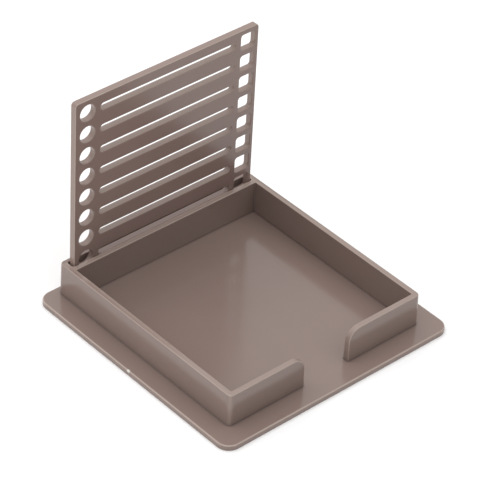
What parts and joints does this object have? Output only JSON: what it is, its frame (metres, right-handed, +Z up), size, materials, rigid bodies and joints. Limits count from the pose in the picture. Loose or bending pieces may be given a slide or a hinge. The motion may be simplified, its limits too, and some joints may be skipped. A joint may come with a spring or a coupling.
{
  "type": "sticky note dispenser",
  "caption": "Desk dispenser for square sticky notes: a flanged tray with a finger gap at the front and a perforated back panel that stands in a slot and lifts out.",
  "frame": {"origin": "middle of the flat underside, where the tray stands on the desk", "axes": "+Z up, -Y towards the front with the finger gap, +X to the right seen from the front"},
  "size_m": [0.1002, 0.0984, 0.0805],
  "materials": {
    "tray_plastic": "satin moulded plastic, warm grey brown",
    "panel_plastic": "satin moulded plastic, warm grey brown"
  },
  "bodies": {
    "tray": {"tray": "tray_plastic"},
    "back_panel": {"back_panel": "panel_plastic"}
  },
  "joints": [
    {"name": "panel_lift", "type": "slide", "parent": "tray", "child": "back_panel", "axis": [0, 0, 1], "range_m": [0, 0.02]}
  ]
}
